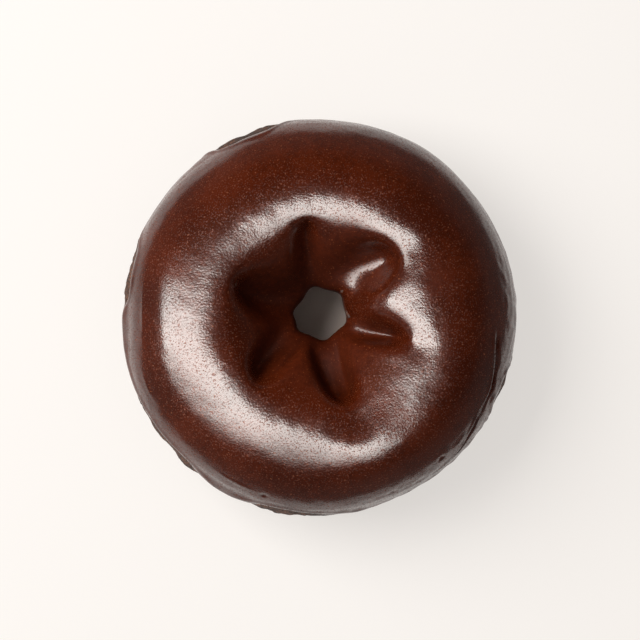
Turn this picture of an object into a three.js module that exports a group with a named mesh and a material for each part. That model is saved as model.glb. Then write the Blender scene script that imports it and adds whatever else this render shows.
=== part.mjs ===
// A chocolate ring doughnut: a fried dough ring with a coat of set chocolate glaze.
//
// The dough ring is one solid. It stands on the flat patch that its own weight presses into its
// underside. A funnel with six creases leads down from the crown into the hole, which is a rounded
// hexagon at its waist. The glaze is one closed shell that hugs the crown. It ends in a wavy edge round
// the widest part of the ring, and in a second edge inside the hole.
//
// Millimetres, +Z up. The origin is the middle of the footprint, on the surface that the ring rests on.
import * as THREE from "three";

const DEG = Math.PI / 180;
const TAU = 2 * Math.PI;

// Driving dimensions of the glazed outline.
const OUTER_RADIUS = 42;
const CREST_RADIUS = 24;
const HOLE_RADIUS = 5.1;
const HEIGHT = 32;
const EQUATOR_HEIGHT = 14.5;
const WAIST_HEIGHT = 17;
const SINK = 2.2; // how far the glazed outline would reach below the resting surface
const HOLE_OFFSET = { x: 0.3, y: 1.1 };

// The outline's roundness: 1 is an ellipse, and less is fuller at the shoulders.
const TOP_FULLNESS = 0.96;
const INNER_FULLNESS = 0.74;
const BOTTOM_FULLNESS = 0.86;

// The glaze.
const GLAZE_THICKNESS = 0.9;
const GLAZE_GAP = 0.5; // clear of the dough, so that the two solids never touch
const DOUGH_INSET = GLAZE_THICKNESS + GLAZE_GAP;
const GLAZE_INNER_EDGE = 190 * DEG; // just under the waist of the hole
const EDGE_ROUNDING = 3.2 * DEG;

// A swell is a rise on one side of the ring: its middle and half width round the ring, and its height.
const swell = (middle, halfWidth, height) => ({ middle: middle * DEG, halfWidth: halfWidth * DEG, height });

// The funnel round the hole is a sum of slopes. Each starts at a radius, softly, and lies on one side of
// the ring or all round, as its swell says.
const ALL_ROUND = 1000;
const FUNNEL = [
  { start: 17.4, rounding: 3, slope: swell(0, ALL_ROUND, 0.36) },
  { start: 19.8, rounding: 0.5, slope: swell(68, 36, 0.12) },
  { start: 13, rounding: 2.5, slope: swell(150, 48, 0.9) },
  { start: 13, rounding: 1, slope: swell(40, 34, -0.3) },
];
const LIP_SHIFTS = [swell(-5, 28, -3.9), swell(120, 14, -0.9)]; // of where the slopes start
const WAIST_SHIFTS = [swell(138, 55, -5.5)]; // of the height of the hole's waist
const CREST_SHIFTS = [
  swell(10, 26, -2.2),
  swell(298, 22, 3.2),
  swell(275, 18, 0.8),
  swell(95, 34, 0.5),
  swell(218, 16, -0.9),
  swell(168, 20, -0.1),
];

// The hole is a rounded hexagon: how far each corner reaches out, and one flat that lies further in.
const HOLE_CORNERS = [
  swell(43, 18, 0.7),
  swell(104, 18, 0.75),
  swell(143, 18, -0.4),
  swell(181, 16, 0.6),
  swell(217, 16, 0.7),
  swell(280, 18, 0.7),
  swell(342, 18, 0.7),
];

// Each crease: its angle at the hole and at its outer end, how far out it ends, its depth, the share of its
// length in which it gets that deep, and the half width and flatness of its two sides.
const crease = (atHole, atEnd, end, depth, rise, clockwise, counter) => ({
  atHole: atHole * DEG,
  atEnd: atEnd * DEG,
  end,
  depth,
  rise,
  clockwise: { halfWidth: clockwise[0], flatness: clockwise[1] },
  counter: { halfWidth: counter[0], flatness: counter[1] },
});
const CREASES = [
  crease(103, 97, 20.8, 2.8, 0.2, [1.7, 1.2], [2.4, 1.2]),
  crease(47, 39, 22.1, 6.6, 0.28, [3.5, 1.9], [4.5, 1.8]),
  crease(-24, -14, 20.8, 4.2, 0.3, [2.8, 1.3], [1.8, 1.4]),
  crease(-86, -71, 20.8, 5.6, 0.3, [1.7, 1.6], [2.5, 1.5]),
  crease(-148, -132, 20.6, 5, 0.3, [2.1, 1.5], [2, 1.5]),
  crease(168, 158, 20.4, 5.4, 0.35, [2.9, 1.5], [2.8, 1.5]),
];
const VALLEY_ROUNDING = 0.8; // at the bottom of a crease

// Shallow hollows at the outer ends of creases.
const HOLLOWS = [
  { angle: 38 * DEG, out: 21.5, halfWidth: 4, depth: 0.55 },
  { angle: -17 * DEG, out: 21, halfWidth: 3.6, depth: 0.45 },
  { angle: -70 * DEG, out: 22.5, halfWidth: 4.6, depth: 0.6 },
];

// Slow waves in the outer outline: lobes round the ring, height in millimetres, and the angle of a peak.
const OUTLINE_WAVES = [
  { lobes: 2, height: 0.3, peak: 63 * DEG },
  { lobes: 3, height: 0.14, peak: 118 * DEG },
  { lobes: 5, height: 0.12, peak: 52 * DEG },
  { lobes: 7, height: 0.1, peak: 8 * DEG },
];
const CROWN_WAVES = [
  { lobes: 2, height: 0.12, peak: 172 * DEG },
  { lobes: 3, height: 0.05, peak: 162 * DEG },
];

// Where the crown is set in from the rim on a ledge, and the ledge's height as a share of the crown's.
const RIM_LEDGES = [swell(243, 42, 0.3)];
const LEDGE_TOP = 0.24;

// The glaze's outer edge, as an angle round the ring's cross-section, from the equator upwards.
const EDGE_LEVEL = -9 * DEG;
const EDGE_WAVES = [
  { lobes: 5, height: 3.2 * DEG, peak: 20 * DEG },
  { lobes: 9, height: 2.4 * DEG, peak: 63 * DEG },
  { lobes: 14, height: 1.5 * DEG, peak: 5 * DEG },
];
// Where the edge stops short and the dough shows: middle and half width round the ring, and the rise.
const BARE_PATCHES = [
  { middle: 112 * DEG, halfWidth: 12 * DEG, rise: 27 * DEG },
  { middle: 166 * DEG, halfWidth: 11 * DEG, rise: 24 * DEG },
  { middle: 212 * DEG, halfWidth: 22 * DEG, rise: 19 * DEG },
  { middle: 265 * DEG, halfWidth: 20 * DEG, rise: 19 * DEG },
  { middle: 338 * DEG, halfWidth: 9 * DEG, rise: 22 * DEG },
];

// Creases fade out between these heights, given as sines of the angle across the ring.
const CREASE_FADE = { from: -0.2, to: 0.2 };

// How square the shoulders of a bare patch are, and how much a patch calms the edge waves that cross it.
const PATCH_SQUARENESS = 4;
const CALMING_RISE = 60 * DEG;

// Mesh fineness. The dough and the glaze share their rows from the shoulder to the glaze's inner edge,
// so that the gap between the two faceted surfaces stays even inside the creases.
const AROUND = 96;
const SHOULDER = 45 * DEG;
const CROWN_STEPS = 19;
const UNDERSIDE_STEPS = 15;
const SKIRT_STEPS = 3; // between the glaze's outer edge and the shoulder
const SLOPE_STEP = 0.01; // in radians, over which the outline's direction is measured

const clamp01 = (x) => Math.min(1, Math.max(0, x));
const lerp = (a, b, t) => a + (b - a) * t;
const share = (a, b, x) => clamp01((x - a) / (b - a));
const bell = (x) => Math.exp(-x * x);
const smooth = (x) => clamp01(x) ** 2 * (3 - 2 * clamp01(x));
const power = (base, exponent) => Math.sign(base) * Math.pow(Math.abs(base), exponent);

// The signed angle from b to a, within half a turn either way.
const turnBetween = (a, b) => Math.atan2(Math.sin(a - b), Math.cos(a - b));

const waves = (list, around) =>
  list.reduce((sum, w) => sum + w.height * Math.cos(w.lobes * (around - w.peak)), 0);

const swells = (list, around) =>
  list.reduce((sum, s) => sum + s.height * bell(turnBetween(around, s.middle) / s.halfWidth), 0);

const holeRadius = (around) => HOLE_RADIUS + swells(HOLE_CORNERS, around);

// How deep one crease is: it deepens in a short run from its outer end, and fades towards the hole.
function oneCrease(crease, around, radius) {
  const t = clamp01((crease.end - radius) / (crease.end - holeRadius(around)));
  const middle = crease.atEnd + turnBetween(crease.atHole, crease.atEnd) * t;
  const aside = turnBetween(around, middle) * radius;
  const side = aside > 0 ? crease.counter : crease.clockwise;
  const distance = Math.hypot(aside, VALLEY_ROUNDING) - VALLEY_ROUNDING;
  const along = (1 - bell(t / crease.rise)) * (1 - t * t);
  return crease.depth * along * Math.exp(-Math.pow(distance / side.halfWidth, side.flatness));
}

// How deep the creases and hollows are at this place, as a distance into the ring.
function creaseDepth(around, radius) {
  const creases = CREASES.reduce((sum, one) => sum + oneCrease(one, around, radius), 0);
  return HOLLOWS.reduce((sum, hollow) => {
    const distance = Math.hypot(turnBetween(around, hollow.angle) * radius, radius - hollow.out);
    return sum + hollow.depth * bell(distance / hollow.halfWidth);
  }, creases);
}

// How far the funnel drops below the plain rounded crown.
function funnelDrop(around, radius) {
  const inside = swells(LIP_SHIFTS, around) - radius;
  return FUNNEL.reduce((sum, { start, rounding, slope }) => {
    const bend = (Math.hypot(start + inside, rounding) + start + inside) / 2;
    return sum + swells([slope], around) * bend;
  }, 0);
}

// The plain outline, with no creases. across is 0 at the equator, a quarter turn on the crown,
// half a turn at the waist of the hole and three quarters under the ring.
function plainOutline(around, across) {
  const c = Math.cos(across);
  const s = Math.sin(across);
  const ledge = swells(RIM_LEDGES, around) * smooth(s / LEDGE_TOP);
  const rim = OUTER_RADIUS + waves(OUTLINE_WAVES, around) - ledge;
  const crest = CREST_RADIUS + swells(CREST_SHIFTS, around);
  const radius = c > 0 ? lerp(crest, rim, c) : lerp(crest, holeRadius(around), -c);
  const waist = WAIST_HEIGHT + swells(WAIST_SHIFTS, around);
  const middle = lerp(waist, EQUATOR_HEIGHT, (1 + c) / 2);
  if (s <= 0) return { radius, height: middle + (middle + SINK) * power(s, BOTTOM_FULLNESS) };
  const crown = HEIGHT + waves(CROWN_WAVES, around) * s;
  const fullness = lerp(TOP_FULLNESS, INNER_FULLNESS, smooth(-c));
  const fullHeight = crown - middle - funnelDrop(around, radius);
  return { radius, height: middle + fullHeight * power(s, fullness) };
}

// A point of the glazed outline. The hole sits a little off the middle of the ring.
function outlinePoint(around, across) {
  const { radius, height } = plainOutline(around, across);
  const offCentre = 1 - radius / OUTER_RADIUS;
  return new THREE.Vector3(
    radius * Math.cos(around) + HOLE_OFFSET.x * offCentre,
    radius * Math.sin(around) + HOLE_OFFSET.y * offCentre,
    height,
  );
}

// The direction out of the ring at a point of the outline.
function outwards(around, across) {
  const between = (from, to) => outlinePoint(...to).sub(outlinePoint(...from));
  const alongAround = between([around - SLOPE_STEP, across], [around + SLOPE_STEP, across]);
  const alongAcross = between([around, across - SLOPE_STEP], [around, across + SLOPE_STEP]);
  return alongAround.cross(alongAcross).normalize();
}

// A point at this depth under the glazed surface, creases included.
function surfacePoint(around, across, depth) {
  const { radius } = plainOutline(around, across);
  const onTop = share(CREASE_FADE.from, CREASE_FADE.to, Math.sin(across));
  const inwards = depth + creaseDepth(around, radius) * onTop;
  return outlinePoint(around, across).addScaledVector(outwards(around, across), -inwards);
}

// The glaze's outer edge, as an angle across the ring. Bare patches lift it above the equator.
function glazeEdge(around) {
  const lift = BARE_PATCHES.reduce((highest, patch) => {
    const aside = turnBetween(around, patch.middle) / patch.halfWidth;
    return Math.max(highest, patch.rise * Math.exp(-Math.pow(aside, PATCH_SQUARENESS)));
  }, 0);
  return EDGE_LEVEL + waves(EDGE_WAVES, around) * (1 - lift / CALMING_RISE) + lift;
}

// A closed mesh from rings of points: sections[i][j] goes round the ring with i and round its section with j.
function closedRing(sections) {
  const across = sections[0].length;
  const positions = sections.flat().flatMap((p) => [p.x, p.y, p.z]);
  const index = [];
  sections.forEach((_, i) => {
    const next = (i + 1) % sections.length;
    for (let j = 0; j < across; j++) {
      const up = (j + 1) % across;
      const corners = [i * across + j, next * across + j, next * across + up, i * across + up];
      index.push(corners[0], corners[1], corners[2], corners[0], corners[2], corners[3]);
    }
  });
  const geometry = new THREE.BufferGeometry();
  geometry.setAttribute("position", new THREE.Float32BufferAttribute(positions, 3));
  geometry.setIndex(index);
  geometry.computeVertexNormals();
  return geometry;
}

// Evenly spaced values from a up to, but not including, b.
const spaced = (a, b, steps) => Array.from({ length: steps }, (_, i) => lerp(a, b, i / steps));

const angles = spaced(0, TAU, AROUND);
const crownRows = spaced(SHOULDER, GLAZE_INNER_EDGE, CROWN_STEPS);
const undersideRows = spaced(GLAZE_INNER_EDGE, SHOULDER + TAU, UNDERSIDE_STEPS);

// The dough: the whole outline, set in by the glaze and its gap, and pressed flat where it rests.
function doughSection(around) {
  return [...crownRows, ...undersideRows].map((across) => {
    const point = surfacePoint(around, across, DOUGH_INSET);
    point.z = Math.max(0, point.z);
    return point;
  });
}

// The glaze: out along its outer face from edge to edge, then back along the face next to the dough.
function glazeSection(around) {
  const start = glazeEdge(around);
  const skirtRows = spaced(start + EDGE_ROUNDING, SHOULDER, SKIRT_STEPS);
  const rows = [...skirtRows, ...crownRows, GLAZE_INNER_EDGE - EDGE_ROUNDING];
  const face = (depth) => rows.map((across) => surfacePoint(around, across, depth));
  const edge = (across) => surfacePoint(around, across, GLAZE_THICKNESS / 2);
  return [edge(start), ...face(0), edge(GLAZE_INNER_EDGE), ...face(GLAZE_THICKNESS).reverse()];
}

const doughMaterial = new THREE.MeshStandardMaterial({ color: 0x3a1a0d, roughness: 0.85, metalness: 0 });
const glazeMaterial = new THREE.MeshStandardMaterial({ color: 0x55230f, roughness: 0.3, metalness: 0 });

function namedMesh(name, geometry, material) {
  const mesh = new THREE.Mesh(geometry, material);
  mesh.name = name;
  return mesh;
}

const doughnut = new THREE.Group();
doughnut.add(namedMesh("dough_ring", closedRing(angles.map(doughSection)), doughMaterial));
doughnut.add(namedMesh("chocolate_glaze", closedRing(angles.map(glazeSection)), glazeMaterial));

// Centre the footprint on the origin.
const footprint = new THREE.Box3().setFromObject(doughnut);
const middle = footprint.getCenter(new THREE.Vector3());
doughnut.position.set(-middle.x, -middle.y, 0);

export default doughnut;
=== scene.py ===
"""A chocolate ring doughnut: a dark dough ring with a craggy crust, under a coat of glossy glaze.

Each piece is a closed ring, worked out on a grid of two angles. around goes round the ring,
counter-clockwise from +X as seen from above. across goes round the ring's section: 0 at the equator, a
quarter turn on the crown, half a turn at the waist of the hole and three quarters on the underside. Shapes
are worked out in millimetres, and become metres when their mesh is made.
"""

import bpy
import numpy as np
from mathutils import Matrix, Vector


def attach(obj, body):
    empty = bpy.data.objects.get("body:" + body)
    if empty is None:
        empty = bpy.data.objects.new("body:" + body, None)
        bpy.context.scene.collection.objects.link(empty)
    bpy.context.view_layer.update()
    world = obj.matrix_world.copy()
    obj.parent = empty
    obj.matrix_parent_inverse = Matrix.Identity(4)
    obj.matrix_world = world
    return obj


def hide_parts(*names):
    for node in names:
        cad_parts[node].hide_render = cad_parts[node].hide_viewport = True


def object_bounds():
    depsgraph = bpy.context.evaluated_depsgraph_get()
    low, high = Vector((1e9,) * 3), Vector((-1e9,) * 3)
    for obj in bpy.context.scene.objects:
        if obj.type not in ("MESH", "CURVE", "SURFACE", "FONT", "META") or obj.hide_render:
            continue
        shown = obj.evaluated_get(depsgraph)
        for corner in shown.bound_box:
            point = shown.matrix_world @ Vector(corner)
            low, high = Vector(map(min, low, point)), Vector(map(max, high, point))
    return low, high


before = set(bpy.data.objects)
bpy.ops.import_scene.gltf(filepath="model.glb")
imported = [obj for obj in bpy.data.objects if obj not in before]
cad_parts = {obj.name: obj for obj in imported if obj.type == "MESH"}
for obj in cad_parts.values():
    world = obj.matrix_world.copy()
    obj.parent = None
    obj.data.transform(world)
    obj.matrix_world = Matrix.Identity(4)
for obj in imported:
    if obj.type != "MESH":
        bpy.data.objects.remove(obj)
cad_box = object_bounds()

DEG = np.pi / 180
TURN = 2 * np.pi
MILLIMETRE = 0.001

# ---- Driving dimensions of the ring, in millimetres, as the solid model has them ----

OUTER_RADIUS = 42.0
CREST_RADIUS = 24.0
HOLE_RADIUS = 5.1
HEIGHT = 32.0
EQUATOR_HEIGHT = 14.5
WAIST_HEIGHT = 17.0
SINK = 2.2  # how far the plain outline would reach below the resting surface
HOLE_OFFSET = (0.3, 1.1)

# The outline's roundness: 1 is an ellipse, and less is fuller at the shoulders.
TOP_FULLNESS = 0.96
INNER_FULLNESS = 0.74
BOTTOM_FULLNESS = 0.86

# The funnel round the hole is a sum of slopes that start at a radius, on one side of the ring or all round:
# the radius, how softly it starts, and the middle and half width of the side, with the slope.
ALL_ROUND = 1000
FUNNEL = [
    (17.4, 3.0, (0, ALL_ROUND, 0.36)),
    (19.8, 0.5, (68, 36, 0.12)),
    (13.0, 2.5, (150, 48, 0.90)),
    (13.0, 1.0, (40, 34, -0.30)),
]
LIP_SHIFTS = [(-5, 28, -3.9), (120, 14, -0.9)]  # of where the slopes start
WAIST_SHIFTS = [(138, 55, -5.5)]  # of the height of the hole's waist

# Each crease: its angles at the hole and at its outer end, how far out it ends, its depth, the power of the
# way to the hole with which it fades, and the share of its length in which it gets that deep. Then come the
# half width and the flatness of its clockwise side, and those of its counter-clockwise side. The two shallow
# creases each leave a low tongue beside a deep one.
CREASES = [
    (103, 97, 20.8, 3.4, 4, 0.20, (1.7, 1.2), (2.2, 1.4)),
    (47, 39, 22.1, 6.6, 2, 0.28, (3.5, 1.9), (4.5, 1.8)),
    (-24, -14, 20.8, 5.6, 4, 0.30, (1.8, 1.9), (2.4, 1.3)),
    (-86, -71, 20.8, 7.0, 4, 0.26, (2.0, 1.7), (2.9, 1.7)),
    (-68, -69, 19.8, 1.6, 4, 0.30, (0.9, 1.4), (1.1, 1.4)),
    (-148, -132, 20.6, 6.6, 4, 0.28, (2.4, 1.7), (2.3, 1.6)),
    (-124, -127, 18.6, 1.6, 4, 0.30, (0.9, 1.4), (1.1, 1.4)),
    (168, 158, 20.4, 6.4, 4, 0.35, (3.0, 1.5), (2.9, 1.5)),
]
VALLEY_ROUNDING = 0.15  # at the bottom of a crease
CREASE_FADE = (-0.2, 0.2)  # creases fade out between these sines of the angle across the ring

# Shallow hollows at the outer ends of creases: angle and radius of the middle, half width and depth.
HOLLOWS = [(38, 21.5, 4.0, 0.55), (-17, 21.0, 3.6, 0.45), (-70, 22.5, 4.6, 0.6)]

# The hole is a rounded hexagon: the middle and half width of each corner, and how far it reaches out.
HOLE_CORNERS = [
    (43, 18, 0.7),
    (104, 18, 0.75),
    (143, 18, -0.4),
    (181, 16, 0.6),
    (217, 16, 0.7),
    (280, 18, 0.7),
    (342, 18, 0.7),
]

# Slow waves: how many lobes go round the ring, their height in millimetres, and the angle of a peak.
OUTLINE_WAVES = [(2, 0.3, 63), (3, 0.14, 118), (5, 0.12, 52), (7, 0.1, 8)]
CROWN_WAVES = [(2, 0.12, 172), (3, 0.05, 162)]

# Where the crest of the ring lies further out or in: middle and half width round the ring, and by how much.
CREST_SHIFTS = [
    (10, 26, -2.2),
    (298, 22, 3.2),
    (275, 18, 0.8),
    (95, 34, 0.5),
    (218, 16, -0.9),
    (168, 20, -0.1),
]

# Where the crown is set in from the rim on a ledge: middle and half width round the ring, and how far.
RIM_LEDGES = [(243, 42, 1.0), (180, 12, 0.9), (122, 12, 0.8)]
LEDGE_TOP = 0.24  # height of the ledge's inner end, as a share of the crown's

# ---- The glaze ----

GLAZE_THICKNESS = 0.6
GLAZE_TUCK = 0.15  # how far its hidden face goes into the dough
GLAZE_INNER_EDGE = 204 * DEG
BEAD_WIDTH = 2.4 * DEG  # the rounded edge, as an angle across the ring
TUCKED_BEAD = 0.2  # share of the bead's width at which the hidden face starts and ends

EDGE_LEVEL = -9 * DEG
EDGE_WAVES = [(5, 3.2, 20), (9, 2.4, 63), (14, 1.5, 5)]  # heights in degrees across the ring
# Where the edge stops short and the dough shows: middle and half width round the ring, and the rise.
BARE_PATCHES = [(112, 12, 27), (166, 11, 24), (212, 22, 19), (265, 20, 19), (338, 9, 22)]
PATCH_SQUARENESS = 4  # the power that makes a patch's shoulders square
CALMING_RISE = 60 * DEG  # the rise at which a patch would still the edge's waves

# ---- The dough ----

UNDERSIDE_INSET = 1.4  # how far the underside lies inside the plain outline
BARE_INSET = 0.2  # and how far the bare crust at the rim does
UNDERSIDE_TURN = (-0.8, -0.1)  # sines of the angle across the ring between which one becomes the other
COVER_WIDTH = 7 * DEG  # the strip under the glaze's edge in which the dough goes in
RESTING_SOFTNESS = 0.3  # of the corner where the dough meets its resting surface

# ---- Mesh fineness ----

AROUND = 560
GLAZE_ROWS = 128
BEAD_ROWS = 8
HIDDEN_ROWS = 16
DOUGH_ROWS = 150
EVENNESS = 0.6  # of the glaze's rows, which would all be evenly spaced at 1
SLOPE_STEP = 0.01  # in radians, over which the outline's direction is measured


# ---- The outline ----


def bell(x):
    """The bell curve: e to the power of minus x squared."""
    return np.exp(-x * x)


def lerp(a, b, t):
    """The value a share t of the way from a to b."""
    return a + (b - a) * t


def ramp(low, high, x):
    """0 below low, 1 above high, and straight in between. high may be the lower of the two."""
    return np.clip((x - low) / (high - low), 0, 1)


def smooth(low, high, x):
    """The same with soft ends: the cubic 3t^2 - 2t^3 of the ramp t."""
    t = ramp(low, high, x)
    return t * t * (3 - 2 * t)


def turn_between(a, b):
    """The signed angle from b to a, within half a turn either way."""
    return np.arctan2(np.sin(a - b), np.cos(a - b))


def waves(table, around):
    """The sum of cosines round the ring, one for each (lobes, height, peak) of the table."""
    return sum(height * np.cos(lobes * (around - peak * DEG)) for lobes, height, peak in table)


def swells(table, around):
    """The sum of bell curves round the ring, one for each (middle, half width, height) of the table."""
    total = 0
    for middle, half_width, height in table:
        total = total + height * bell(turn_between(around, middle * DEG) / (half_width * DEG))
    return total


def spot(around, radius, angle, out, half_width):
    """A bell curve of the distance, in the plane of the ring, from the point at this angle and radius."""
    distance = np.hypot(turn_between(around, angle * DEG) * radius, radius - out)
    return bell(distance / half_width)


def hole_radius(around):
    """The radius of the hole at its waist, larger at its corners."""
    return HOLE_RADIUS + swells(HOLE_CORNERS, around)


def crease_depth(around, radius):
    """How deep the creases and hollows are, as a distance into the ring.

    Along its length a crease deepens in a short run from its outer end, and fades with a power of the way to
    the hole. To each side its depth falls as e to the power of minus (distance over half width) to the power
    of its flatness. A hollow is a bell curve of the distance from its middle.
    """
    total = 0
    for at_hole, at_end, end, depth, fade, rise, clockwise, counter in CREASES:
        way = ramp(end, hole_radius(around), radius)
        middle = at_end * DEG + turn_between(at_hole * DEG, at_end * DEG) * way
        aside = turn_between(around, middle) * radius
        half_width = np.where(aside > 0, counter[0], clockwise[0])
        flatness = np.where(aside > 0, counter[1], clockwise[1])
        distance = np.hypot(aside, VALLEY_ROUNDING) - VALLEY_ROUNDING
        along = (1 - bell(way / rise)) * (1 - way**fade)
        total = total + depth * along * np.exp(-((distance / half_width) ** flatness))
    for angle, out, half_width, depth in HOLLOWS:
        total = total + depth * spot(around, radius, angle, out, half_width)
    return total


def funnel_drop(around, radius):
    """How far the funnel drops below the plain crown: the sum of its slopes, each times the distance inside
    its start, with the corner at the start rounded as a hyperbola."""
    drop = 0
    for start, rounding, slope in FUNNEL:
        inside = start + swells(LIP_SHIFTS, around) - radius
        drop = drop + swells([slope], around) * (np.hypot(inside, rounding) + inside) / 2
    return drop


def plain_outline(around, across):
    """Radius and height of the outline with no creases: two half ellipses, above and below the equator,
    which meet the hole's waist lower than the rim, less the drop of the funnel."""
    c = np.cos(across)
    s = np.sin(across)
    ledge = swells(RIM_LEDGES, around) * smooth(0, LEDGE_TOP, s)
    rim = OUTER_RADIUS + waves(OUTLINE_WAVES, around) - ledge
    crest = CREST_RADIUS + swells(CREST_SHIFTS, around)
    radius = np.where(c > 0, lerp(crest, rim, c), lerp(crest, hole_radius(around), -c))
    waist = WAIST_HEIGHT + swells(WAIST_SHIFTS, around)
    middle = lerp(waist, EQUATOR_HEIGHT, (1 + c) / 2)
    crown = HEIGHT + waves(CROWN_WAVES, around) * s
    fullness = lerp(TOP_FULLNESS, INNER_FULLNESS, smooth(0, 1, -c))
    above = (crown - middle - funnel_drop(around, radius)) * np.abs(s) ** fullness
    below = -(middle + SINK) * np.abs(s) ** BOTTOM_FULLNESS
    return radius, middle + np.where(s > 0, above, below)


def outline_point(around, across):
    """The outline as points, with the hole a little off the middle of the ring."""
    radius, height = plain_outline(around, across)
    off_centre = 1 - radius / OUTER_RADIUS
    x = radius * np.cos(around) + HOLE_OFFSET[0] * off_centre
    y = radius * np.sin(around) + HOLE_OFFSET[1] * off_centre
    return np.stack([x, y, height], axis=-1)


def outwards(around, across):
    """The unit normal of the outline: the cross product of its two central differences."""
    along_around = outline_point(around + SLOPE_STEP, across) - outline_point(around - SLOPE_STEP, across)
    along_across = outline_point(around, across + SLOPE_STEP) - outline_point(around, across - SLOPE_STEP)
    normal = np.cross(along_around, along_across)
    return normal / np.linalg.norm(normal, axis=-1, keepdims=True)


def surface(around, across, depth):
    """Points at this depth under the glazed surface, creases included, which fade out on the underside."""
    around, across, depth = np.broadcast_arrays(around, across, depth)
    radius, _ = plain_outline(around, across)
    on_top = ramp(*CREASE_FADE, np.sin(across))
    inwards = depth + crease_depth(around, radius) * on_top
    return outline_point(around, across) - outwards(around, across) * inwards[..., None]


# ---- Relief ----

RIPPLE_COUNT = 28  # waves in one field
RIPPLE_SPREAD = (0.7, 1.4)  # shortest and longest wave, as shares of the wavelength

# Heights and wavelengths of fields of ripples in the glaze, in millimetres.
SLOW_LUMPS = (0.045, 17)
FINE_LUMPS = (0.012, 5)
COAT = (0.004, 1.8)
WRINKLES = (0.06, 4.0)
WRINKLE_STRETCH = (1, 1, 1.6)  # how much closer the wrinkles lie along Z
WRINKLE_LEVELS = (18, 46)  # angles across the ring between which they fade out
CALM_WRINKLES = 0.25  # their share all round
RUMPLED_SIDE = [(325, 40, 0.75)]  # and what one side adds: middle and half width round the ring, and share

# The thicker lip just inside the glaze's edge: the width and the place are angles across the ring.
LIP_HEIGHT = 0.24
LIP_PLACE = 6
LIP_WIDTH = 3.2

# Small marks in the glaze near the rim: the angle round the ring and across it, the half length round and
# the half width across, and the height, all lengths in millimetres.
MARKS = [
    (311, 33, 0.8, 0.7, -0.55),
    (311, 33, 1.6, 1.4, 0.2),
    (253, 30, 0.7, 0.6, -0.35),
    (178, 40, 5.0, 0.7, 0.2),
    (243, 31, 5.0, 0.6, 0.16),
    (293, 26, 1.2, 0.7, -0.25),
    (202, 33, 3.0, 0.6, 0.12),
]
SECTION_RADIUS = 17.0  # of the ring's section near the rim

# A fold in the glaze runs through these angles round the ring and across it.
FOLD = [(308, 12), (316, 18), (327, 29), (337, 30), (350, 38), (358, 40)]
FOLD_WIDTH = 0.42
FOLD_DEPTH = 0.5
SWELLING_SHARE = 0.4  # height of the swelling beside the fold, as a share of the fold's depth
SWELLING_OFFSET = 2  # its distance from the fold, in widths of the fold

# The crust: heights and wavelengths in millimetres.
CRUST_LUMPS = (0.16, 7)
BLISTERS = (0.06, 2.4)
PITS = (0.22, 1.7)
PIT_LEVEL = 0.9  # a pit opens where its field runs above this
CRACKS = (0.3, 11)
CRACK_WIDTH = 0.07  # share of its field's height
CRACKED_PATCHES = 9  # wavelength of the field that says where cracks are


def ripples(points, wavelength, seed):
    """A smooth random field of about -1 to 1: a sum of cosine waves that cross the points in all directions,
    each of about this wavelength and with a phase of its own, over the root of half their number."""
    random = np.random.default_rng(seed)
    directions = random.normal(size=(RIPPLE_COUNT, 3))
    directions /= np.linalg.norm(directions, axis=1, keepdims=True)
    lengths = wavelength * random.uniform(*RIPPLE_SPREAD, RIPPLE_COUNT)
    phases = random.uniform(0, TURN, RIPPLE_COUNT)
    total = np.zeros(points.shape[:-1])
    for direction, length, phase in zip(directions, lengths, phases):
        total += np.cos(points @ direction * (TURN / length) + phase)
    return total / np.sqrt(RIPPLE_COUNT / 2)


def lumps(points, field, seed):
    """Ripples of the field's wavelength, times its height."""
    height, wavelength = field
    return height * ripples(points, wavelength, seed)


def marks_relief(around, across):
    """Each mark is a bell curve of the distance from its middle, stretched by its two sizes."""
    total = 0
    for middle, level, half_length, half_width, height in MARKS:
        along = turn_between(around, middle * DEG) * OUTER_RADIUS / half_length
        over = (across - level * DEG) * SECTION_RADIUS / half_width
        total = total + height * bell(np.hypot(along, over))
    return total


def fold_relief(around, across):
    """A fold in the glaze: a groove along a bent line, with a lower swelling on its inner side, both fading
    towards its ends."""
    angles, levels = np.array(FOLD).T * DEG
    turn = np.mod(around, TURN)
    aside = (across - np.interp(turn, angles, levels)) * SECTION_RADIUS / FOLD_WIDTH
    present = smooth(angles[0], angles[1], turn) * (1 - smooth(angles[-2], angles[-1], turn))
    profile = SWELLING_SHARE * bell(aside - SWELLING_OFFSET) - bell(aside)
    return FOLD_DEPTH * profile * present


def wrinkle_relief(points, around, across):
    """Wrinkles near the rim, stronger on one side of the ring, fading out towards the crown."""
    strength = CALM_WRINKLES + swells(RUMPLED_SIDE, around)
    near_rim = 1 - smooth(*WRINKLE_LEVELS, across / DEG)
    return lumps(points * WRINKLE_STRETCH, WRINKLES, seed=14) * strength * near_rim


def glaze_relief(points, around, across):
    """Slow lumps of the dough showing through, finer unevenness of the coat, a thicker lip near the edge,
    the wrinkles, the marks and the fold, outwards in millimetres."""
    dough = lumps(points, SLOW_LUMPS, seed=11) + lumps(points, FINE_LUMPS, seed=12)
    coat = lumps(points, COAT, seed=13)
    from_edge = (across - glaze_edge(around)) / DEG
    lip = LIP_HEIGHT * bell((from_edge - LIP_PLACE) / LIP_WIDTH)
    wrinkles = wrinkle_relief(points, around, across)
    return dough + coat + lip + wrinkles + marks_relief(around, across) + fold_relief(around, across)


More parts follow.
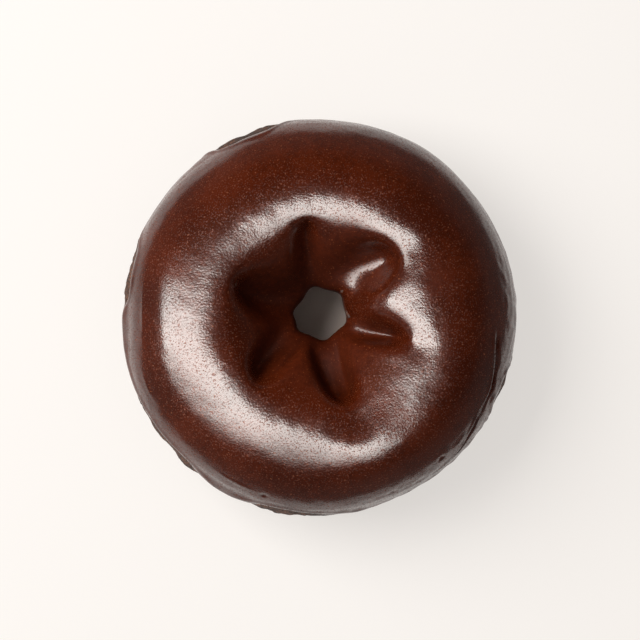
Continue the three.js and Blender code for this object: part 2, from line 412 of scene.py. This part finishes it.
def crust_relief(points):
    """The fried crust: lumps, blisters, round pits where a fine field runs high, and cracks along the lines
    where a coarse field crosses zero, outwards in millimetres."""
    uneven = lumps(points, CRUST_LUMPS, seed=21) + lumps(points, BLISTERS, seed=22)
    pit_depth, pit_spacing = PITS
    pits = pit_depth * np.clip(ripples(points, pit_spacing, seed=23) - PIT_LEVEL, 0, None)
    crack_depth, crack_spacing = CRACKS
    cracked = smooth(0, 1, ripples(points, CRACKED_PATCHES, seed=25))
    cracks = crack_depth * bell(ripples(points, crack_spacing, seed=24) / CRACK_WIDTH) * cracked
    return uneven - pits - cracks


# Where the glaze has set duller: angle and radius of the middle, half width, and how dull.
DULL_PATCHES = [
    (18, 25.2, 3.4, 0.6),
    (32, 19.5, 3.4, 0.6),
    (69, 16.5, 4.2, 0.8),
    (150, 23.5, 4.5, 0.5),
    (262, 29.5, 7.0, 0.3),
    (306, 25.0, 5.0, 0.4),
    (308, 28.6, 6.0, 0.3),
]
DULL_FUNNEL = (11.5, 18.5)  # the funnel gets dull between the second radius and the first
SHINY_SIDE = [(20, 42, 1)]  # but not on this side: middle and half width round the ring, and share


def dullness(around, across):
    """How dull the glaze has set, from 0 up: duller deep in the funnel, but not on the side of its shallow
    lobe, and a bell curve for each dull patch."""
    radius, _ = plain_outline(around, across)
    total = (1 - smooth(*DULL_FUNNEL, radius)) * (1 - swells(SHINY_SIDE, around))
    for angle, out, half_width, share in DULL_PATCHES:
        total = total + share * spot(around, radius, angle, out, half_width)
    return total


# ---- Meshes ----


def ring_mesh(name, points, material):
    """A closed mesh from points[i, j], where i goes round the ring and j round its section: one quad for
    each step of both, turned so that it faces out."""
    around, section = points.shape[:2]
    i, j = np.meshgrid(np.arange(around), np.arange(section), indexing="ij")
    next_i = (i + 1) % around
    next_j = (j + 1) % section
    corners = [i * section + j, next_i * section + j, next_i * section + next_j, i * section + next_j]
    quads = np.stack([corner.ravel() for corner in corners], axis=1)
    mesh = bpy.data.meshes.new(name)
    mesh.vertices.add(around * section)
    mesh.vertices.foreach_set("co", (points * MILLIMETRE).astype(np.float32).ravel())
    mesh.loops.add(quads.size)
    mesh.loops.foreach_set("vertex_index", quads.astype(np.int32).ravel())
    mesh.polygons.add(len(quads))
    mesh.polygons.foreach_set("loop_start", np.arange(0, quads.size, 4, dtype=np.int32))
    mesh.polygons.foreach_set("use_smooth", np.ones(len(quads), dtype=bool))
    mesh.update(calc_edges=True)
    mesh.validate()
    return place_mesh(name, mesh, material)


def flat_mesh(name, corners, faces, material):
    """A mesh from corners in metres and the faces that join them, by number."""
    mesh = bpy.data.meshes.new(name)
    mesh.from_pydata(corners.tolist(), [], faces)
    return place_mesh(name, mesh, material)


def place_mesh(name, mesh, material):
    """An object at the origin that shows this mesh in this material."""
    mesh.materials.append(material)
    piece = bpy.data.objects.new(name, mesh)
    bpy.context.scene.collection.objects.link(piece)
    return piece


def glaze_edge(around):
    """The glaze's outer edge, as an angle across the ring: a level, waves, and the lift of the bare patches,
    each e to the power of minus the distance to a high power."""
    lift = 0
    for middle, half_width, rise in BARE_PATCHES:
        aside = turn_between(around, middle * DEG) / (half_width * DEG)
        lift = np.maximum(lift, rise * DEG * np.exp(-(aside**PATCH_SQUARENESS)))
    return EDGE_LEVEL + waves(EDGE_WAVES, around) * DEG * (1 - lift / CALMING_RISE) + lift


def crowded(share):
    """A share from 0 to 1 whose rows lie closer together near 0: e t + (1 - e) t squared, for evenness e."""
    return EVENNESS * share + (1 - EVENNESS) * share**2


def glaze_points(around):
    """The glaze's shell: out of the dough in a quarter round at the outer edge, over the crown, into the
    dough in a quarter round inside the hole, and back under the dough's surface. With it, how dull each
    point is."""
    start = glaze_edge(around)
    end = GLAZE_INNER_EDGE
    turn = np.linspace(0, TURN / 4, BEAD_ROWS, endpoint=False)
    bead_across = BEAD_WIDTH * (1 - np.cos(turn))
    bead_depth = GLAZE_THICKNESS * (1 - np.sin(turn))
    share = crowded(np.linspace(0, 1, GLAZE_ROWS))
    face_across = lerp(start + BEAD_WIDTH, end - BEAD_WIDTH, share)
    inner_bead = np.broadcast_to(end - bead_across[::-1], (len(around), BEAD_ROWS))
    across = np.concatenate([start + bead_across, face_across, inner_bead], axis=1)
    depth = np.concatenate([bead_depth, np.zeros(GLAZE_ROWS), bead_depth[::-1]])
    outer = surface(around, across, depth)
    outer += outwards(around, across) * glaze_relief(outer, around, across)[..., None]
    tuck = TUCKED_BEAD * BEAD_WIDTH
    back_across = lerp(end - tuck, start + tuck, np.linspace(0, 1, HIDDEN_ROWS))
    hidden = surface(around, back_across, GLAZE_THICKNESS + GLAZE_TUCK)
    dull = dullness(around, np.concatenate([across, back_across], axis=1))
    return np.concatenate([outer, hidden], axis=1), dull


def dough_points(around):
    """The dough: the whole outline, set in by the glaze above and by more on the underside, with the relief
    of its crust where no glaze covers it. Where it rests it is pressed flat, with its height z made half of
    z plus the root of z squared and the softness squared."""
    across = np.linspace(0, TURN, DOUGH_ROWS, endpoint=False)[None, :]
    past_edge = smooth(0, COVER_WIDTH, turn_between(across, glaze_edge(around)))
    covered = past_edge * (across < GLAZE_INNER_EDGE)
    bare_inset = lerp(UNDERSIDE_INSET, BARE_INSET, smooth(*UNDERSIDE_TURN, np.sin(across)))
    points = surface(around, across, lerp(bare_inset, GLAZE_THICKNESS, covered))
    points += outwards(around, across) * (crust_relief(points) * (1 - covered))[..., None]
    z = points[..., 2]
    points[..., 2] = (z + np.hypot(z, RESTING_SOFTNESS)) / 2
    return points


# ---- Shader nodes ----

# The Mix node's sockets by number, because their names repeat: share, first, second and result.
MIX_SOCKETS = {"FLOAT": (0, 2, 3, 0), "RGBA": (0, 6, 7, 2)}


class Wire:
    """An output socket that can be used in sums: each operator adds the Math node for it."""

    def __init__(self, tree, socket):
        self.tree = tree
        self.socket = socket

    def math(self, operation, first, second):
        return self.tree.add("Math", {"operation": operation}, {0: first, 1: second})

    def __add__(self, other):
        return self.math("ADD", self, other)

    def __sub__(self, other):
        return self.math("SUBTRACT", self, other)

    def __rsub__(self, other):
        return self.math("SUBTRACT", other, self)

    def __mul__(self, other):
        return self.math("MULTIPLY", self, other)

    __radd__ = __add__
    __rmul__ = __mul__


class Tree:
    """The shader nodes of a material or a world."""

    def __init__(self, owner):
        owner.use_nodes = True
        self.nodes = owner.node_tree.nodes
        self.links = owner.node_tree.links

    def add(self, kind, settings=None, inputs=None, output=0):
        """A node of this kind: its settings first, then the values or wires of its sockets."""
        node = self.nodes.new("ShaderNode" + kind)
        for name, value in (settings or {}).items():
            setattr(node, name, value)
        for name, value in (inputs or {}).items():
            self.join(value, node.inputs[name])
        return Wire(self, node.outputs[output])

    def join(self, value, socket):
        """Links a wire to a socket, or sets the socket's value."""
        if isinstance(value, Wire):
            self.links.new(value.socket, socket)
        else:
            socket.default_value = value

    def step(self, value, low, high):
        """0 where value is below low, 1 above high, and a smooth step between; high may be the lower."""
        inputs = {"Value": value, "From Min": low, "From Max": high}
        return self.add("MapRange", {"interpolation_type": "SMOOTHSTEP"}, inputs)

    def part(self, vector, axis):
        """One coordinate of a vector."""
        return self.add("SeparateXYZ", None, {0: vector}, output=axis)

    def mix(self, kind, share, first, second):
        """The value or the colour a share of the way from the first to the second."""
        at_share, at_first, at_second, result = MIX_SOCKETS[kind]
        inputs = {at_share: share, at_first: first, at_second: second}
        return self.add("Mix", {"data_type": kind}, inputs, output=result)


class Finish(Tree):
    """A material, whose patterns lie on the object's own coordinates."""

    def __init__(self, name):
        self.material = bpy.data.materials.new(name)
        super().__init__(self.material)
        self.shader = self.nodes["Principled BSDF"]
        self.place = self.add("TexCoord", output="Object")

    def surface(self, **values):
        """Sets the shader's sockets, where an underscore stands for a space."""
        for name, value in values.items():
            self.join(value, self.shader.inputs[name.replace("_", " ")])

    def show(self, shader):
        """Makes this shader the material's surface."""
        self.join(shader, self.nodes["Material Output"].inputs["Surface"])

    def blend(self, share, other):
        """Lets this share of the surface take another shader."""
        own = Wire(self, self.shader.outputs["BSDF"])
        self.show(self.add("MixShader", None, {0: share, 1: own, 2: other}))

    def noise(self, size, detail, roughness=0.5):
        """Cloudy noise, 0 to 1, whose blotches are about this size in millimetres."""
        scale = 1 / (size * MILLIMETRE)
        inputs = {"Vector": self.place, "Scale": scale, "Detail": detail, "Roughness": roughness}
        return self.add("TexNoise", None, inputs)

    def tint(self, share, first, second):
        """The colour a share of the way from the first to the second."""
        return self.mix("RGBA", share, first, second)

    def bump(self, height, depth):
        """A normal bent by a height of 0 to 1 that stands for this depth in millimetres."""
        return self.add("Bump", None, {"Height": height, "Distance": depth * MILLIMETRE, "Strength": 1.0})


def colour(red, green, blue):
    return (red, green, blue, 1.0)


# ---- Materials ----

# Sizes and depths are in millimetres. A range gives the values of a noise between which its pattern comes
# in, so its second value is the lower one where the pattern lies in the noise's low places.
GLAZE_DARK = colour(0.050, 0.0072, 0.0016)
GLAZE_LIGHT = colour(0.082, 0.0124, 0.0028)
GLAZE_SPECK = colour(0.42, 0.12, 0.040)
DRIFT_SIZE = 14
CLOUD_SIZE = 1.2
GRAIN_SIZE = 0.4
GRAIN_DEPTH = 0.033
TONE_SHARES = (0.5, 0.3, 0.2)  # of the drift, the cloud and the grain in the tone
TONE_RANGE = (0.4, 0.6)
SPECK_SIZE = 0.34
SPECK_RANGE = (0.66, 0.78)
SPECK_SHARE = 0.42
PEPPER_RANGE = (0.53, 0.67)  # of the fine duller points in the gloss
PEPPER_SHARE = 0.45
GLOSS_ROUGHNESS = 0.16
CLOUD_ROUGHNESS = 0.04
PEPPER_ROUGHNESS = 0.2
DULLNESS = "dullness"

DOUGH_DARK = colour(0.030, 0.0095, 0.0040)
DOUGH_LIGHT = colour(0.17, 0.058, 0.025)
BLOTCH_SIZE = 4
BLOTCH_RANGE = (0.35, 0.7)
PORE_SIZE = 0.5
PORE_RANGE = (0.62, 0.42)
CRUMB_SIZE = 0.7
CRUMB_DEPTH = 0.12

FLOOR_COLOUR = colour(0.38, 0.37, 0.36)
FLOOR_GLOW = colour(0.625, 0.60, 0.575)
# The floor under the ring: its warm tint, with no glow, is painted shade for the floor seen through the hole
PAINTED_SHADE_FLOOR = colour(0.9, 0.78, 0.70)
NO_GLOW = colour(0, 0, 0)


def glaze_material():
    """Set chocolate glaze: two browns in slow drifts, fine lighter specks, a fine grain in the gloss, and a
    duller finish in places."""
    finish = Finish("chocolate_glaze")
    drift = finish.noise(DRIFT_SIZE, detail=3)
    cloud = finish.noise(CLOUD_SIZE, detail=3)
    grain = finish.noise(GRAIN_SIZE, detail=1)
    fine = finish.noise(SPECK_SIZE, detail=1)
    pepper = finish.step(fine, *PEPPER_RANGE)
    drift_share, cloud_share, grain_share = TONE_SHARES
    tone = finish.step(drift * drift_share + cloud * cloud_share + grain * grain_share, *TONE_RANGE)
    brown = finish.tint(tone, GLAZE_DARK, GLAZE_LIGHT)
    brown = finish.tint(finish.step(fine, *SPECK_RANGE) * SPECK_SHARE, brown, GLAZE_SPECK)
    normal = finish.bump(grain, GRAIN_DEPTH)
    roughness = GLOSS_ROUGHNESS + CLOUD_ROUGHNESS * cloud + PEPPER_ROUGHNESS * pepper
    finish.surface(Base_Color=brown, Roughness=roughness, IOR=1.5, Normal=normal)
    dull_glaze = {"Base Color": brown, "Roughness": 0.6, "Specular IOR Level": 0.04, "Normal": normal}
    dull = finish.add("Attribute", {"attribute_name": DULLNESS}, output="Fac")
    finish.blend(dull + PEPPER_SHARE * pepper, finish.add("BsdfPrincipled", None, dull_glaze))
    return finish.material


def dough_material():
    """Dark fried crust: brown in blotches, darker in fine pores, rough all over."""
    finish = Finish("fried_dough")
    blotches = finish.step(finish.noise(BLOTCH_SIZE, detail=4, roughness=0.6), *BLOTCH_RANGE)
    pores = finish.step(finish.noise(PORE_SIZE, detail=3, roughness=0.6), *PORE_RANGE)
    brown = finish.tint(blotches * (1 - pores), DOUGH_DARK, DOUGH_LIGHT)
    normal = finish.bump(finish.noise(CRUMB_SIZE, detail=5, roughness=0.65), CRUMB_DEPTH)
    finish.surface(Base_Color=brown, Roughness=0.78, IOR=1.45, Normal=normal)
    return finish.material


def floor_material(name, base, glow):
    """Smooth matte paper, lit from behind too where it glows."""
    finish = Finish(name)
    finish.surface(Base_Color=base, Roughness=0.9, Specular_IOR_Level=0.0)
    finish.surface(Emission_Color=glow, Emission_Strength=1.0)
    return finish.material


# ---- The pieces ----


def footprint_shift(*rings):
    """The move that brings the middle of the footprint of all the rings to the middle of the solid model's,
    and their lowest point to its lowest."""
    corners = np.concatenate([ring.reshape(-1, 3) for ring in rings])
    lowest = corners.min(axis=0)
    middle = (lowest + corners.max(axis=0)) / 2
    low, high = (np.array(corner) / MILLIMETRE for corner in cad_box)
    target = (low + high) / 2
    return np.array([target[0] - middle[0], target[1] - middle[1], low[2] - lowest[2]])


angles = np.linspace(0, TURN, AROUND, endpoint=False)[:, None]
glaze_ring, glaze_dullness = glaze_points(angles)
dough_ring = dough_points(angles)
shift = footprint_shift(glaze_ring, dough_ring)

dough = ring_mesh("fried_dough_ring", dough_ring + shift, dough_material())
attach(dough, "root")
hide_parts("dough_ring")

glaze = ring_mesh("glossy_glaze", glaze_ring + shift, glaze_material())
dull = glaze.data.attributes.new(DULLNESS, "FLOAT", "POINT")
dull.data.foreach_set("value", glaze_dullness.astype(np.float32).ravel())
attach(glaze, "root")
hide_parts("chocolate_glaze")


# ---- The floor, in metres ----

FLOOR_SIDES = 128
FLOOR_DROP = 0.00002  # below the resting surface
SHADED_RADIUS = 0.026  # under the ring, where the paper has no glow, so the floor seen through the hole stays dark: painted shade
MIDDLE = (0.0, 0.0)
PAPER_CENTRE = (-0.012, -0.004)  # of the part of the paper that the gloss shows
PAPER_RADIUS = 0.088
FLOOR_RADIUS = 3.0


def make_floor(name, inner, outer, material):
    """A flat level ring just under the object, between two rims, each a centre and a radius: one quad for
    each side."""
    turn = np.linspace(0, TURN, FLOOR_SIDES, endpoint=False)[:, None]
    centre, radius = (np.array(values)[None] for values in zip(inner, outer))
    x = centre[..., 0] + radius * np.cos(turn)
    y = centre[..., 1] + radius * np.sin(turn)
    height = np.full_like(x, cad_box[0].z - FLOOR_DROP)
    corners = np.stack([x, y, height], axis=-1).reshape(-1, 3)
    start = 2 * np.arange(FLOOR_SIDES)
    following = np.roll(start, -1)
    quads = np.stack([start, start + 1, following + 1, following], axis=1)
    floor = flat_mesh(name, corners, quads.tolist(), material)
    return floor


# The floor under the ring has no glow and a warm tint: painted shade in the hole
painted_shade_paper = floor_material("painted_shade_floor", PAINTED_SHADE_FLOOR, NO_GLOW)
lit_paper = floor_material("pale_floor", FLOOR_COLOUR, FLOOR_GLOW)
make_floor("floor_below", (MIDDLE, 0.0), (MIDDLE, SHADED_RADIUS), painted_shade_paper)
make_floor("floor", (MIDDLE, SHADED_RADIUS), (PAPER_CENTRE, PAPER_RADIUS), lit_paper)
far_floor = make_floor("far_floor", (PAPER_CENTRE, PAPER_RADIUS), (MIDDLE, FLOOR_RADIUS), lit_paper)
far_floor.visible_glossy = False  # the gloss shows only the near floor, and the dark room past it


# ---- Camera and light, in metres ----

CAMERA_DISTANCE = 0.6  # above the equator of the ring
FRAME_WIDTH = 0.1363  # of what the camera sees at that height
SENSOR_WIDTH = 36.0
CAMERA_OFFSET = (0.0001, -0.0005)

# The outline of the softbox as the ring sees it: directions as an azimuth in degrees, and how far out the
# point is as a share of the softbox's height above the ring.
SOFTBOX_CORNERS = [
    (172, 0.04),
    (172, 2.1),
    (200, 1.9),
    (215, 1.65),
    (230, 1.6),
    (242, 1.0),
    (284, 0.9),
    (313, 0.62),
    (313, 0.04),
]
SOFTBOX_HEIGHT = 2.5
SOFTBOX_BRIGHT = 19.5
SOFTBOX_DIM = 1.0
SOFTBOX_DIMMING = (-0.95, -0.1)  # where it is dim and where bright along Y, as shares of its height
SOFTBOX_COLOUR = colour(1, 0.985, 0.94)

KEY_COLOUR = (1, 0.97, 0.94)
ROOM_COLOUR = colour(1, 0.97, 0.94)
HAZE_TOP = 0.6  # height at which the haze ends, as the sine of the angle above the horizon


def make_camera():
    """A long lens that looks straight down on the middle of the ring, with +Y up."""
    camera = bpy.data.cameras.new("camera")
    camera.sensor_width = SENSOR_WIDTH
    camera.lens = SENSOR_WIDTH * CAMERA_DISTANCE / FRAME_WIDTH
    holder = bpy.data.objects.new("camera", camera)
    holder.location = (*CAMERA_OFFSET, EQUATOR_HEIGHT * MILLIMETRE + CAMERA_DISTANCE)
    bpy.context.scene.collection.objects.link(holder)
    bpy.context.scene.camera = holder


def make_softbox():
    """A level polygon of light over one side of the ring that only the gloss sees. It dims towards its low
    side."""
    finish = Finish("softbox_light")
    dim_end, bright_end = (share * SOFTBOX_HEIGHT for share in SOFTBOX_DIMMING)
    from_low = finish.step(finish.part(finish.place, "Y"), dim_end, bright_end)
    strength = SOFTBOX_DIM + (SOFTBOX_BRIGHT - SOFTBOX_DIM) * from_low
    finish.show(finish.add("Emission", None, {"Color": SOFTBOX_COLOUR, "Strength": strength}))
    azimuth, share_out = np.array(SOFTBOX_CORNERS).T
    out = share_out * SOFTBOX_HEIGHT
    height = np.full_like(out, SOFTBOX_HEIGHT + HEIGHT * MILLIMETRE)
    corners = np.stack([out * np.cos(azimuth * DEG), out * np.sin(azimuth * DEG), height], axis=1)
    softbox = flat_mesh("softbox", corners, [list(range(len(corners)))], finish.material)
    softbox.visible_camera = False
    softbox.visible_diffuse = False
    softbox.visible_shadow = False


def key_light(azimuth, elevation, distance, size, brightness):
    """A square soft light that shapes the ring and its shadow, aimed at the ring from this direction. White
    paper that faces it shows this brightness, which is the power over pi squared and distance squared."""
    light = bpy.data.lights.new("key", "AREA")
    light.shape = "SQUARE"
    light.size = size
    light.energy = brightness * np.pi**2 * distance**2
    light.color = KEY_COLOUR
    holder = bpy.data.objects.new("key", light)
    level = np.cos(elevation * DEG)
    away = Vector((level * np.cos(azimuth * DEG), level * np.sin(azimuth * DEG), np.sin(elevation * DEG)))
    holder.location = away * distance
    holder.rotation_euler = away.to_track_quat("Z", "Y").to_euler()
    holder.visible_camera = False
    holder.visible_glossy = False
    bpy.context.scene.collection.objects.link(holder)


def make_world(radiance, haze):
    """The soft light of the room, the same from all sides. The gloss sees only a low haze, which fades out
    with height above the horizon."""
    world = bpy.data.worlds.new("room")
    room = Tree(world)
    height = room.part(room.add("TexCoord", output="Generated"), "Z")
    low_haze = haze * room.step(height, HAZE_TOP, 0.0)
    for_gloss = room.add("LightPath", output="Is Glossy Ray")
    background = room.nodes["Background"]
    room.join(ROOM_COLOUR, background.inputs["Color"])
    room.join(room.mix("FLOAT", for_gloss, radiance, low_haze), background.inputs["Strength"])
    bpy.context.scene.world = world


make_camera()
make_softbox()
key_light(azimuth=157, elevation=45, distance=0.8, size=0.6, brightness=1.12)
make_world(radiance=0.25, haze=0.16)
bpy.context.scene.view_settings.view_transform = "Standard"
